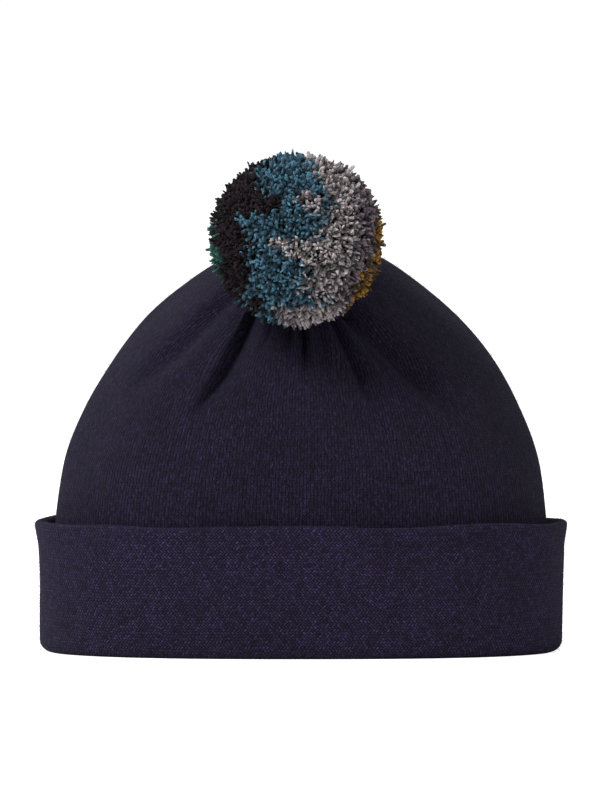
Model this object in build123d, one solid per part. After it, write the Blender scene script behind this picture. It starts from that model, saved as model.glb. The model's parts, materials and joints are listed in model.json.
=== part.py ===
from build123d import *

import math
import os

os.makedirs("parts", exist_ok=True)

# A knitted pom pom beanie standing on its turned-up cuff, in millimetres. X is the width, the front is
# towards -Y, and +Z is up. The origin is the centre of the head opening, in the plane of the fold.

# Cuff
CUFF_WIDTH = 220.0  # side to side, outside
CUFF_DEPTH = 166.0  # front to back, outside
CUFF_HEIGHT = 55.5
CUFF_WALL = 4.2
CUFF_LEAN = 0.9  # how far the cuff's free edge stands out past its fold
CUFF_GAP = 2.4  # air between the cuff and the body inside it
FOLD_THICKNESS = 3.6  # the turned fabric under the body's lower end
FOLD_RADIUS = 3.5  # outer corner of the fold
EDGE_STEPS = 3  # flats round each of the cuff's rounded edges

# Body and crown
BODY_WALL = 3.0
CROWN_HEIGHT = 172.5
SQUARENESS = 2.4  # exponent of the cross-sections: 2 is an ellipse
RING_POINTS = 28
GATHER_HOLE_RADIUS = 1.6

# Threads
SEAM_HALF_WIDTH = 2.2
SEAM_HALF_THICKNESS = 0.9
GATHER_RING_RADIUS = 3.6
GATHER_THREAD_RADIUS = 0.9
ANCHOR_RADIUS = 3.2
TIE_KNOT_RADIUS = 2.4
TIE_THREAD_RADIUS = 1.3
BINDING_RING_RADIUS = 5.0
BINDING_CORD_RADIUS = 1.1

# Pom
POM_RADIUS = 36.8
POM_SIDE_SHIFT = -1.7  # the pom lies a little to the left of the middle
POM_NECK = 1.6  # from the tie knot's centre to the pom's nearest yarn ends
POM_COLOURS = ["green", "black", "teal", "grey", "charcoal", "mustard"]
POM_BOUNDARIES = [-34.0, -20.5, 4.5, 25.0, 33.0]  # from the pom's centre, left to right

# Clearances
THREAD_CLEARANCE = 0.3
SEAM_CLEARANCE = 0.35
REST_CLEARANCE = 0.5  # between the resting pom and the crown

BODY_HALF_WIDTH = CUFF_WIDTH / 2 - CUFF_WALL - CUFF_GAP
BODY_HALF_DEPTH = CUFF_DEPTH / 2 - CUFF_WALL - CUFF_GAP
CROWN_RISE = CROWN_HEIGHT - CUFF_HEIGHT

# The crown's cross-sections above the cuff, each a closed ring through a front and a back point. Widths and
# depths are shares of the body's at the cuff, and rises are shares of the crown's rise over the cuff.
# Columns: half width, front depth, front rise, back depth, back rise. The last is the gather.
CROWN_RINGS = [
    (1.000, -1.000, 0.000, 1.000, 0.000),
    (0.960, -0.985, 0.209, 0.998, 0.243),
    (0.880, -0.940, 0.379, 0.970, 0.442),
    (0.775, -0.865, 0.515, 0.900, 0.622),
    (0.650, -0.770, 0.628, 0.760, 0.782),
    (0.512, -0.665, 0.711, 0.550, 0.898),
    (0.385, -0.572, 0.775, 0.255, 0.977),
    (0.275, -0.500, 0.825, -0.045, 1.000),
    (0.170, -0.452, 0.866, -0.255, 0.983),
    (0.075, -0.428, 0.889, -0.352, 0.942),
]


def superellipse(centre, across, along):
    """A smooth closed wire round centre, with across and along as its half axes."""
    points = []
    for i in range(RING_POINTS):
        angle = 2 * math.pi * i / RING_POINTS
        c, s = math.cos(angle), math.sin(angle)
        u = math.copysign(abs(c) ** (2 / SQUARENESS), c)
        v = math.copysign(abs(s) ** (2 / SQUARENESS), s)
        points.append(centre + across * u + along * v)
    return Wire([Edge.make_spline(points, periodic=True)])


def level_ring(half_width, half_depth, height):
    return superellipse(Vector(0, 0, height), Vector(half_width, 0, 0), Vector(0, half_depth, 0))


def crown_profiles():
    """The crown rings in millimetres: half widths, front points and back points."""
    widths, fronts, backs = [], [], []
    for width, front, front_rise, back, back_rise in CROWN_RINGS:
        widths.append(width * BODY_HALF_WIDTH)
        fronts.append(Vector(0, front * BODY_HALF_DEPTH, CUFF_HEIGHT + front_rise * CROWN_RISE))
        backs.append(Vector(0, back * BODY_HALF_DEPTH, CUFF_HEIGHT + back_rise * CROWN_RISE))
    return widths, fronts, backs


def inward(points, i, toward):
    """The unit normal of the profile at point i, on the side where toward lies."""
    before, after = points[max(i - 1, 0)], points[min(i + 1, len(points) - 1)]
    along = (after - before).normalized()
    normal = Vector(0, -along.Z, along.Y)
    return normal if normal.dot(toward - points[i]) > 0 else normal * -1


def offset_profiles(depth):
    """The crown profiles moved inwards by depth, square to the surface."""
    widths, fronts, backs = crown_profiles()
    middles = [(f + b) * 0.5 for f, b in zip(fronts, backs)]
    sides = [Vector(0, w, m.Z) for w, m in zip(widths, middles)]
    new_widths, new_fronts, new_backs = [], [], []
    for i, middle in enumerate(middles):
        below = middles[max(i - 1, 0)]
        inside_side = inward(sides, i, Vector(0, 0, below.Z - 1))
        new_widths.append(widths[i] + inside_side.Y * depth)
        new_fronts.append(fronts[i] + inward(fronts, i, below) * depth)
        new_backs.append(backs[i] + inward(backs, i, below) * depth)
    return new_widths, new_fronts, new_backs


def body_loft(depth, foot):
    """The solid inside the body's outer surface moved inwards by depth, from foot to the gather."""
    widths, fronts, backs = offset_profiles(depth) if depth else crown_profiles()
    rings = []
    for height in (foot, (foot + CUFF_HEIGHT) / 2):
        rings.append(level_ring(widths[0], -fronts[0].Y, height))
    for width, front, back in zip(widths, fronts, backs):
        rings.append(superellipse((front + back) * 0.5, Vector(width, 0, 0), (back - front) * 0.5))
    return Solid.make_loft(rings)


def gather_frame(depth):
    """The plane of the gather's ring at this depth, with its normal pointing out of the hat."""
    _, fronts, backs = offset_profiles(depth) if depth else crown_profiles()
    across = backs[-1] - fronts[-1]
    normal = Vector(0, -across.Z, across.Y).normalized()
    return Plane(origin=(fronts[-1] + backs[-1]) * 0.5, x_dir=(1, 0, 0), z_dir=normal)


def crown_body():
    outer = body_loft(0, FOLD_THICKNESS)
    inner = body_loft(BODY_WALL, FOLD_THICKNESS - 1)
    gather = gather_frame(0)
    hole = Solid.make_cylinder(GATHER_HOLE_RADIUS, 6 * BODY_WALL, gather).moved(
        Location(gather.z_dir * -3 * BODY_WALL)
    )
    return outer - inner - hole


def cuff_ring(inset, height):
    """A level ring of the cuff, inset from its outer face, which leans out towards the top."""
    lean = CUFF_LEAN * height / CUFF_HEIGHT
    return level_ring(CUFF_WIDTH / 2 + lean - inset, CUFF_DEPTH / 2 + lean - inset, height)


def rounded_edge(radius, steps):
    """Pairs of inset and distance from the edge's plane, round a quarter turn, the plane's first."""
    angles = [math.pi / 2 * i / steps for i in range(steps + 1)]
    return [(radius * (1 - math.sin(a)), radius * (1 - math.cos(a))) for a in angles]


def turned_up_cuff():
    """A J in section: the outer wall, and the fold that turns in under the body's lower end."""
    fold = [cuff_ring(inset, h) for inset, h in rounded_edge(FOLD_RADIUS, EDGE_STEPS)]
    edge = rounded_edge(CUFF_WALL / 2, EDGE_STEPS)[::-1]
    rim = [cuff_ring(inset, CUFF_HEIGHT - h) for inset, h in edge]
    pocket_rim = [cuff_ring(CUFF_WALL - inset, CUFF_HEIGHT - h) for inset, h in edge]
    outside = Solid.make_loft(fold + rim, ruled=True)
    pocket = Solid.make_loft([cuff_ring(CUFF_WALL, FOLD_THICKNESS)] + pocket_rim, ruled=True)
    inset = CUFF_WALL + CUFF_GAP + BODY_WALL
    opening = Solid.make_loft(
        [
            level_ring(CUFF_WIDTH / 2 - inset, CUFF_DEPTH / 2 - inset, h)
            for h in (-1, FOLD_THICKNESS + 1)
        ]
    )
    return outside - pocket - opening


def back_seam():
    """The joined selvedges inside the centre back, from the fold to the gather."""
    _, _, backs = offset_profiles(BODY_WALL + SEAM_HALF_THICKNESS + SEAM_CLEARANCE)
    foot = Vector(0, backs[0].Y, FOLD_THICKNESS + SEAM_CLEARANCE)
    path = Wire([Edge.make_spline([foot, (foot + backs[0]) * 0.5] + backs[:-2])])
    start = Plane(origin=foot, x_dir=(1, 0, 0), z_dir=(0, 0, 1))
    return sweep(start * Ellipse(SEAM_HALF_WIDTH, SEAM_HALF_THICKNESS), path=path)


def gather_ring_plane():
    cap = gather_frame(BODY_WALL)
    return cap.offset(-(GATHER_THREAD_RADIUS + THREAD_CLEARANCE / 2))


def gather_thread():
    """The thread that draws the crown's last stitches together."""
    return Solid.make_torus(GATHER_RING_RADIUS, GATHER_THREAD_RADIUS, gather_ring_plane())


def anchor_knot():
    """The tie's inner knot, which bears on the gather thread, and its threads through the hole."""
    ring = gather_ring_plane()
    reach = ANCHOR_RADIUS + GATHER_THREAD_RADIUS + THREAD_CLEARANCE
    drop = math.sqrt(reach**2 - GATHER_RING_RADIUS**2)
    centre = ring.origin - ring.z_dir * drop
    top = tie_point() - ring.z_dir * (TIE_KNOT_RADIUS + THREAD_CLEARANCE)
    stub_plane = Plane(origin=centre, x_dir=(1, 0, 0), z_dir=ring.z_dir)
    stub = Solid.make_cylinder(TIE_THREAD_RADIUS, (top - centre).length, stub_plane)
    return Pos(centre) * Sphere(ANCHOR_RADIUS) + stub


def tie_point():
    """The centre of the outer knot, which the pom turns about."""
    cap = gather_frame(0)
    return cap.origin + cap.z_dir * (TIE_KNOT_RADIUS + THREAD_CLEARANCE)


def neck_direction(rise):
    """From the tie point to the pom's centre, rise degrees above level, towards the front."""
    reach = POM_RADIUS + POM_NECK
    level = math.cos(math.radians(rise))
    forward = math.sqrt(level**2 - (POM_SIDE_SHIFT / reach) ** 2)
    return Vector(POM_SIDE_SHIFT / reach, -forward, math.sin(math.radians(rise)))


def resting_direction(crown):
    """The lowest direction of the pom's neck in which the pom clears the crown."""
    low, high = 0.0, 70.0
    for _ in range(12):
        rise = (low + high) / 2
        centre = tie_point() + neck_direction(rise) * (POM_RADIUS + POM_NECK)
        if Vertex(centre).distance_to(crown) > POM_RADIUS + REST_CLEARANCE:
            high = rise
        else:
            low = rise
    return neck_direction(high)


def pom_frame(crown):
    """The pom's centre, with Z along the neck towards the pom and X to its right."""
    neck = resting_direction(crown)
    centre = tie_point() + neck * (POM_RADIUS + POM_NECK)
    side = Vector(1, 0, 0) - neck * neck.X
    return Plane(origin=centre, x_dir=side, z_dir=neck)


def tie_knot():
    return Pos(tie_point()) * Sphere(TIE_KNOT_RADIUS)


def tie_threads(frame):
    """The cord's two tails, laid together, from the knot to the binding inside the pom."""
    start = tie_point() + frame.z_dir * (TIE_KNOT_RADIUS + THREAD_CLEARANCE)
    binding = BINDING_RING_RADIUS + BINDING_CORD_RADIUS + THREAD_CLEARANCE
    length = (frame.origin - start).length - binding
    return Solid.make_cylinder(TIE_THREAD_RADIUS, length, Plane(start, frame.x_dir, frame.z_dir))


def binding_plane(frame):
    """The binding lies in the plane of the neck and the pom's width, so every colour passes through it."""
    return Plane(origin=frame.origin, x_dir=frame.x_dir, z_dir=frame.y_dir)


def pom_binding_cord(frame):
    return Solid.make_torus(BINDING_RING_RADIUS, BINDING_CORD_RADIUS, binding_plane(frame))


def pom_hollows(frame):
    """Room inside the pom for the knot, the threads and the binding."""
    knot = Pos(tie_point()) * Sphere(TIE_KNOT_RADIUS + 2 * THREAD_CLEARANCE)
    channel_plane = Plane(tie_point(), frame.x_dir, frame.z_dir)
    channel_length = POM_RADIUS + POM_NECK - BINDING_RING_RADIUS
    channel = Solid.make_cylinder(
        TIE_THREAD_RADIUS + THREAD_CLEARANCE, channel_length, channel_plane
    )
    groove = Solid.make_torus(
        BINDING_RING_RADIUS, BINDING_CORD_RADIUS + THREAD_CLEARANCE / 2, binding_plane(frame)
    )
    return knot, channel, groove


def pom_bundles(frame):
    """One bundle of cut yarn for each colour, side by side across the pom."""
    across = Plane(origin=frame.origin, x_dir=frame.y_dir, z_dir=frame.x_dir)
    edges = [-POM_RADIUS] + POM_BOUNDARIES + [POM_RADIUS]
    latitudes = [math.degrees(math.asin(edge / POM_RADIUS)) for edge in edges]
    bundles = {}
    for colour, low, high in zip(POM_COLOURS, latitudes, latitudes[1:]):
        slab = Solid.make_sphere(POM_RADIUS, across, low, high)
        for hollow in pom_hollows(frame):
            slab = slab - hollow
        bundles["pom_" + colour] = slab
    return bundles


def build():
    crown = crown_body()
    frame = pom_frame(crown)
    parts = {
        "crown_body": crown,
        "turned_up_cuff": turned_up_cuff(),
        "back_seam": back_seam(),
        "gather_thread": gather_thread(),
        "anchor_knot": anchor_knot(),
        "tie_knot": tie_knot(),
        "tie_threads": tie_threads(frame),
        "pom_binding_cord": pom_binding_cord(frame),
    }
    parts.update(pom_bundles(frame))
    for name, shape in parts.items():
        export_step(shape, f"parts/{name}.step")
    print("tie point", tie_point(), "pom centre", frame.origin, "neck", frame.z_dir)


build()
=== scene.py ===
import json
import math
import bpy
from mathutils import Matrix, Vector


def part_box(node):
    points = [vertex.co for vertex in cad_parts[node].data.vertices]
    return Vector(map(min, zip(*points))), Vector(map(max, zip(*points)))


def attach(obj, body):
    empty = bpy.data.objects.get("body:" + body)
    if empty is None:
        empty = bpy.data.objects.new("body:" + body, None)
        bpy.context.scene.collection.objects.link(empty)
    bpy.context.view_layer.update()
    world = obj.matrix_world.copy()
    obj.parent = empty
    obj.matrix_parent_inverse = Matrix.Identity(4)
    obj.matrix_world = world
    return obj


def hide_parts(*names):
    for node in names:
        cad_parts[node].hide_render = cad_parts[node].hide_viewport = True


bl_info = {
    "name": "Pom Pom Beanie",
    "version": (1, 0, 0),
    "blender": (4, 5, 0),
    "location": "View3D > Sidebar > Beanie",
    "description": "Knits a beanie with a turned-up cuff and ties a striped pom to its crown",
    "category": "Add Mesh",
}

import bmesh
import bpy
import numpy as np
from bpy.props import FloatProperty, FloatVectorProperty, IntProperty, PointerProperty
from mathutils import Matrix, Vector

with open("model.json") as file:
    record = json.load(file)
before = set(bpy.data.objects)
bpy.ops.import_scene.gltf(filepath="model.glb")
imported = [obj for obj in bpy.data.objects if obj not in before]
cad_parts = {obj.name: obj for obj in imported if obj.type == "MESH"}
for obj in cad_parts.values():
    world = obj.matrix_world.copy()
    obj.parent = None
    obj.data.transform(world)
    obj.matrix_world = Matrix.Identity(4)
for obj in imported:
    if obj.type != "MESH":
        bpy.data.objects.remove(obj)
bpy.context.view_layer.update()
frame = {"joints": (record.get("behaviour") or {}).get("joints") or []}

# Lengths below are in millimetres, unless a property gives them a unit. Meshes are scaled as they are made.
MM = 0.001
CUFF_LOW, CUFF_HIGH = (np.array(corner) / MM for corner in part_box("turned_up_cuff"))
BODY_LOW, BODY_HIGH = (np.array(corner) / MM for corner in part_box("crown_body"))
COLOURS = ["green", "black", "teal", "grey", "charcoal", "mustard"]
POM_BOXES = np.array([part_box("pom_" + colour) for colour in COLOURS]) / MM
POM_LOW, POM_HIGH = POM_BOXES[:, 0].min(0), POM_BOXES[:, 1].max(0)
POM_CENTRE = (POM_LOW + POM_HIGH) / 2
POM_RADIUS = (POM_HIGH[2] - POM_LOW[2]) / 2
JOINTS = {joint["name"]: joint for joint in frame["joints"]}
TIE_POINT = np.array(JOINTS["pom_twist"]["pos_m"]) / MM
NECK = np.array(JOINTS["pom_twist"]["axis"])

CUFF_HEIGHT = CUFF_HIGH[2]
CROWN_HEIGHT = BODY_HIGH[2]
FOLD_TOP = BODY_LOW[2]  # the body stands on the fold
CUFF_LEAN = 0.9
CUFF_WALL = 4.2
CUFF_GAP = 2.4
BODY_WALL = 3.0
HALF_WIDTH = CUFF_HIGH[0] - CUFF_LEAN - CUFF_WALL - CUFF_GAP
HALF_DEPTH = CUFF_HIGH[1] - CUFF_LEAN - CUFF_WALL - CUFF_GAP
SQUARENESS = 2.4
HOLE_RADIUS = 1.7

# The crown's rings over the cuff, as shares of the body's half width, half depth and rise: half width,
# front depth, front rise, back depth, back rise.
CROWN_RINGS = [
    (1.000, -1.000, 0.000, 1.000, 0.000),
    (0.960, -0.985, 0.209, 0.998, 0.243),
    (0.880, -0.940, 0.379, 0.970, 0.442),
    (0.775, -0.865, 0.515, 0.900, 0.622),
    (0.650, -0.770, 0.628, 0.760, 0.782),
    (0.512, -0.665, 0.711, 0.550, 0.898),
    (0.385, -0.572, 0.775, 0.255, 0.977),
    (0.275, -0.500, 0.825, -0.045, 1.000),
    (0.170, -0.452, 0.866, -0.255, 0.983),
    (0.075, -0.428, 0.889, -0.352, 0.942),
]

# Folds that run down from the gather, seen from the front: top x and z, foot x and z, depth, width of the
# left bank, width of the right bank. A narrow bank is steep, with a raised lip.
FRONT_FOLDS = [
    ((-13.4, 164.0), (-50.0, 94.0), 7.5, 2.2, 13.0),
    ((-0.4, 164.0), (0.9, 112.0), 5.0, 1.9, 2.3),
    ((1.3, 164.0), (33.0, 96.0), 4.6, 2.4, 6.0),
    ((4.0, 160.0), (70.0, 94.0), 5.6, 6.5, 11.0),
    ((-14.0, 166.0), (-80.0, 104.0), 3.0, 7.0, 8.0),
    ((1.0, 164.0), (12.0, 116.0), 2.2, 1.8, 2.2),
    ((0.0, 164.0), (-9.0, 118.0), 1.8, 1.8, 2.0),
    ((-3.0, 164.0), (-21.0, 120.0), 1.6, 2.0, 2.4),
    ((3.0, 165.0), (44.0, 106.0), 2.2, 2.6, 3.6),
]
BACK_FOLDS = [
    ((0.0, 170.0), (-52.0, 104.0), 4.6, 5.0, 11.0),
    ((2.0, 172.0), (-15.0, 96.0), 3.4, 4.0, 9.0),
    ((3.0, 172.0), (22.0, 104.0), 4.0, 9.0, 4.2),
    ((5.0, 170.0), (60.0, 112.0), 4.2, 11.0, 5.0),
    ((-4.0, 168.0), (-74.0, 118.0), 2.6, 7.0, 8.0),
    ((4.0, 172.0), (40.0, 120.0), 1.8, 4.0, 5.0),
]


# Settings


class KnitSettings(bpy.types.PropertyGroup):
    wale_pitch: FloatProperty(
        name="Wale Pitch", description="Width of a column of stitches", default=0.0015, unit="LENGTH"
    )
    course_pitch: FloatProperty(
        name="Course Pitch", description="Height of a row of stitches", default=0.00122, unit="LENGTH"
    )
    relief: FloatProperty(
        name="Relief", description="How far the stitches stand out", default=0.0007, unit="LENGTH"
    )
    colour: FloatVectorProperty(
        name="Yarn", description="Main colour of the hat's yarn", subtype="COLOR",
        default=(0.0271, 0.0176, 0.0570),
    )
    cool_fleck: FloatVectorProperty(
        name="Cool Fleck", description="Blue fibres in the yarn", subtype="COLOR",
        default=(0.0543, 0.0429, 0.1427),
    )
    warm_fleck: FloatVectorProperty(
        name="Warm Fleck", description="Red fibres in the yarn", subtype="COLOR",
        default=(0.0526, 0.0168, 0.0513),
    )
    fuzz: IntProperty(
        name="Fuzz", description="Loose fibres that stand off the hat", default=26000
    )


class PomSettings(bpy.types.PropertyGroup):
    tufts: IntProperty(name="Tufts", description="Cut yarn ends over the whole pom", default=12500)
    tuft_length: FloatProperty(
        name="Tuft Length", description="Length of a yarn end that shows", default=0.0058, unit="LENGTH"
    )
    tuft_radius: FloatProperty(
        name="Tuft Radius", description="Radius of a yarn end", default=0.0006, unit="LENGTH"
    )
    green: FloatVectorProperty(
        name="Green", description="Green yarn", subtype="COLOR", default=(0.032, 0.120, 0.090)
    )
    black: FloatVectorProperty(
        name="Black", description="Brown-black yarn", subtype="COLOR", default=(0.0185, 0.0098, 0.0140)
    )
    teal: FloatVectorProperty(
        name="Teal", description="Teal yarn", subtype="COLOR", default=(0.0741, 0.1824, 0.2609)
    )
    grey: FloatVectorProperty(
        name="Grey", description="Pale warm grey yarn", subtype="COLOR", default=(0.4977, 0.4432, 0.4544)
    )
    charcoal: FloatVectorProperty(
        name="Charcoal", description="Charcoal yarn", subtype="COLOR", default=(0.2087, 0.1702, 0.1980)
    )
    mustard: FloatVectorProperty(
        name="Mustard", description="Mustard yarn", subtype="COLOR", default=(0.34, 0.175, 0.033)
    )


class StageSettings(bpy.types.PropertyGroup):
    distance: FloatProperty(
        name="Distance", description="Camera to hat", default=6.0, unit="LENGTH"
    )
    elevation: FloatProperty(
        name="Elevation", description="Camera above level", default=math.radians(1.7), subtype="ANGLE"
    )
    field: FloatProperty(
        name="Field", description="Height of the view at the hat", default=0.3372, unit="LENGTH"
    )
    aim: FloatProperty(
        name="Aim", description="Height of the middle of the view", default=0.1057, unit="LENGTH"
    )


# Shapes


def superellipse(angles, across, along):
    """Points of a superellipse with these half axes, one row for each angle."""
    c, s = np.cos(angles), np.sin(angles)
    power = 2 / SQUARENESS
    return np.stack([across * np.sign(c) * abs(c) ** power, along * np.sign(s) * abs(s) ** power], -1)


HALF_ROUND = np.linalg.norm(
    np.diff(superellipse(np.linspace(0, np.pi, 2000), HALF_WIDTH, HALF_DEPTH), axis=0), axis=1
).sum()
COLUMNS = 2 * int(HALF_ROUND / 1.5)


def even_angles(columns):
    """Angles that space columns evenly round the hat, from the centre back by way of -X."""
    fine = np.linspace(0, 2 * np.pi, 20001) + np.pi / 2
    steps = np.linalg.norm(np.diff(superellipse(fine, HALF_WIDTH, HALF_DEPTH), axis=0), axis=1)
    along = np.concatenate([[0], np.cumsum(steps)])
    return np.interp(np.linspace(0, along[-1], columns + 1), along, fine)


def smooth_path(knots, t):
    """Cubic interpolation through the rows of knots at the parameters t, one unit from knot to knot."""
    knots = np.asarray(knots, float)
    tangents = np.gradient(knots, axis=0)
    i = np.clip(np.floor(t).astype(int), 0, len(knots) - 2)
    f = (t - i)[:, None]
    p, q = knots[i], knots[i + 1]
    a, b = tangents[i], tangents[i + 1]
    return (
        p * (2 * f**3 - 3 * f**2 + 1)
        + a * (f**3 - 2 * f**2 + f)
        + q * (3 * f**2 - 2 * f**3)
        + b * (f**3 - f**2)
    )


def rise(value, low, high):
    """0 below low, 1 above high, and smooth between."""
    f = np.clip((value - low) / (high - low), 0, 1)
    return f * f * (3 - 2 * f)


def grid_normals(points):
    """Outward unit normals of a grid of points whose columns go round and whose rows go up."""
    wrapped = np.concatenate([points[:, -2:-1], points, points[:, 1:2]], axis=1)
    round_it = wrapped[:, 2:] - wrapped[:, :-2]
    up = np.gradient(points, axis=0)
    normals = np.cross(round_it, up)
    return normals / np.maximum(np.linalg.norm(normals, axis=2, keepdims=True), 1e-9)


def waviness(points, size, seed):
    """A gentle random height over the points, from -1 to 1, with waves about size long."""
    rng = np.random.default_rng(seed)
    total = np.zeros(points.shape[:-1])
    for _ in range(9):
        direction = rng.normal(size=3)
        direction /= np.linalg.norm(direction)
        wave = 2 * np.pi / (size * rng.uniform(0.7, 1.6))
        total += np.sin(points @ direction * wave + rng.uniform(0, 2 * np.pi))
    return total / 4


def tube_mesh(name, points, wales, shares, course_pitch):
    """A closed tube from a grid of points, with a UV map that counts stitches: wales round, courses up.

    shares gives, for each row of faces, the share of the wales that it still has.
    """
    rows, columns = points.shape[0] - 1, points.shape[1] - 1
    bm = bmesh.new()
    bm.loops.layers.uv.new("knit")
    bmesh.ops.create_grid(bm, x_segments=columns, y_segments=rows, size=0.5, calc_uvs=True)
    mesh = bpy.data.meshes.new(name)
    bm.to_mesh(mesh)
    bm.free()
    flat = np.empty(len(mesh.vertices) * 3)
    mesh.vertices.foreach_get("co", flat)
    flat = flat.reshape(-1, 3)
    column = np.rint((flat[:, 0] + 0.5) * columns).astype(int)
    row = np.rint((flat[:, 1] + 0.5) * rows).astype(int)
    mesh.vertices.foreach_set("co", (points[row, column] * MM).ravel())
    courses = np.zeros(points.shape[:2])
    courses[1:] = np.cumsum(np.linalg.norm(np.diff(points, axis=0), axis=2), axis=0) / course_pitch
    vertex = np.empty(len(mesh.loops), int)
    mesh.loops.foreach_get("vertex_index", vertex)
    face_row = row[vertex].reshape(-1, 4).min(1).repeat(4)
    u = column[vertex] / columns * np.rint(wales * np.asarray(shares)[face_row])
    stitches = np.stack([u, courses[row[vertex], column[vertex]]], -1)
    mesh.uv_layers["knit"].uv.foreach_set("vector", stitches.ravel())
    bm = bmesh.new()
    bm.from_mesh(mesh)
    bmesh.ops.remove_doubles(bm, verts=bm.verts, dist=1e-7)
    bmesh.ops.recalc_face_normals(bm, faces=bm.faces)
    bm.to_mesh(mesh)
    bm.free()
    return mesh, face_row.reshape(-1, 4)[:, 0]


def new_piece(name, mesh, body, stands_for=(), materials=()):
    """Puts a finished mesh in the scene, riding on its body."""
    piece = bpy.data.objects.new(name, mesh)
    bpy.context.scene.collection.objects.link(piece)
    for material in materials:
        mesh.materials.append(material)
    mesh.shade_smooth()
    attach(piece, body)
    if stands_for:
        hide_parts(*stands_for)
    return piece


def crown_knots():
    """Control rings from the fold to the thread hole: half width, front y and z, back y and z."""
    climb = CROWN_HEIGHT - CUFF_HEIGHT
    knots = [
        (HALF_WIDTH, -HALF_DEPTH, FOLD_TOP, HALF_DEPTH, FOLD_TOP),
        (HALF_WIDTH, -HALF_DEPTH, (FOLD_TOP + CUFF_HEIGHT) / 2, HALF_DEPTH, (FOLD_TOP + CUFF_HEIGHT) / 2),
    ]
    for width, front, front_rise, back, back_rise in CROWN_RINGS:
        knots.append(
            (
                width * HALF_WIDTH,
                front * HALF_DEPTH,
                CUFF_HEIGHT + front_rise * climb,
                back * HALF_DEPTH,
                CUFF_HEIGHT + back_rise * climb,
            )
        )
    _, fy, fz, by, bz = knots[-1]
    middle, half = np.array([fy + by, fz + bz]) / 2, np.array([by - fy, bz - fz]) / 2
    half *= HOLE_RADIUS / np.linalg.norm(half)
    painted_shade = middle + np.array([half[1], -half[0]]) / HOLE_RADIUS * 1.2
    knots.append((HOLE_RADIUS, *(painted_shade - half), *(painted_shade + half)))
    return knots


def crown_surface(t, angles):
    """The crown without its folds: a grid of points, one row of them for each t."""
    width, fy, fz, by, bz = smooth_path(crown_knots(), t).T
    ring = superellipse(angles, 1.0, 1.0)
    x = width[:, None] * ring[None, :, 0]
    share = ring[None, :, 1]
    y = (fy + by)[:, None] / 2 + (by - fy)[:, None] / 2 * share
    z = (fz + bz)[:, None] / 2 + (bz - fz)[:, None] / 2 * share
    return np.stack([x, y, z], -1)


def fold_heights(points, folds):
    """How far the folds push each point out, and how far their lips lean across."""
    height, lean = np.zeros(points.shape[:2]), np.zeros(points.shape[:2])
    x, z = points[..., 0], points[..., 2]
    for (top_x, top_z), (foot_x, foot_z), depth, left, right in folds:
        along = (z - foot_z) / (top_z - foot_z)
        offset = x - (foot_x + (top_x - foot_x) * along)
        strength = rise(along, 0.0, 0.42) * (1 - 0.55 * rise(along, 0.75, 1.0))
        spread = 1 - 0.45 * rise(along, 0.3, 1.0)
        bank = np.where(offset < 0, left, right) * spread
        valley = np.exp(-((offset / bank) ** 2) * 1.6)
        height -= depth * strength * valley
        steep, sign = (left, -1) if left < right else (right, 1)
        if max(left, right) > 2 * steep:
            lip = np.exp(-(((offset - sign * steep * 1.7) / (steep * 1.1)) ** 2))
            height += 0.20 * depth * strength * lip
            lean -= sign * 0.40 * depth * strength * lip
    return height, lean


def folded_crown(t, angles, depth):
    """The crown with its folds, moved inwards by depth."""
    plain = crown_surface(t, angles)
    normals = grid_normals(plain)
    middle = (plain[:, : -1].mean(axis=1))[:, None, 1]
    back_share = rise(plain[..., 1] - middle, -6.0, 6.0)
    front, front_lean = fold_heights(plain, FRONT_FOLDS)
    back, back_lean = fold_heights(plain, BACK_FOLDS)
    above = rise(plain[..., 2], CUFF_HEIGHT + 4, CUFF_HEIGHT + 30)
    height = (front * (1 - back_share) + back * back_share) * above
    lean = (front_lean * (1 - back_share) + back_lean * back_share) * above
    gather = np.linalg.norm(plain - plain[-1].mean(0), axis=2)
    pleats = np.cos(13 * angles[None, :] + 1.5 * np.sin(3 * angles[None, :])) - 0.3
    height += 1.3 * pleats * rise(-gather, -34.0, -11.0) * rise(gather, 1.5, 6.0)
    height += 0.75 * waviness(plain, 52.0, 3) * above
    seam = abs((angles - np.pi / 2 + np.pi) % (2 * np.pi) - np.pi)[None, :]
    height -= 0.7 * np.exp(-((seam / 0.016) ** 2)) * rise(gather, 6.0, 14.0)
    near_pom = rise(-np.linalg.norm(plain - POM_CENTRE, axis=2), -62.0, -53.0)
    height = np.minimum(height, 3.0 * (1 - near_pom))
    folded = plain + normals * (height * (1 if depth == 0 else 0.8))[..., None]
    folded[..., 0] += lean + 0.9 * rise(plain[..., 2], CUFF_HEIGHT, 100.0) * rise(gather, 12.0, 45.0)
    wall = depth * (1 - 0.75 * rise(-gather, -12.0, -4.0))
    return folded - normals * wall[..., None]


def crown_points(columns):
    """Outside up to the gather, in through the hole, and down inside to the fold."""
    angles = even_angles(columns)
    hidden = np.linspace(0, 2, 12)[:-1]
    shown = np.linspace(2, 12, 118)
    outside = folded_crown(np.concatenate([hidden, shown]), angles, 0.0)
    inside = folded_crown(np.concatenate([hidden[::2], shown[::2]]), angles, BODY_WALL)[::-1]
    points = np.concatenate([outside, inside, outside[:1]])
    points[:, -1] = points[:, 0]
    return points, len(outside)


def wale_shares(points):
    """The share of the cuff's wales that each row of faces keeps, as stitches are knitted together."""
    around = np.linalg.norm(np.diff(points, axis=1), axis=2).sum(1)
    room = np.minimum(around[1:], around[:-1]) / HALF_ROUND / 2
    steps = np.array([1.0, 0.84, 0.7, 0.58, 0.46, 0.36, 0.26, 0.18, 0.12])
    return [steps[steps >= min(share, 1.0)].min() for share in room]


def rounded(centre, radius, start, end, steps):
    """Points of an arc in a section, as inset and height, from start to end degrees."""
    a = np.radians(np.linspace(start, end, steps))
    return np.stack([centre[0] + radius * np.cos(a), centre[1] + radius * np.sin(a)], -1)


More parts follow.
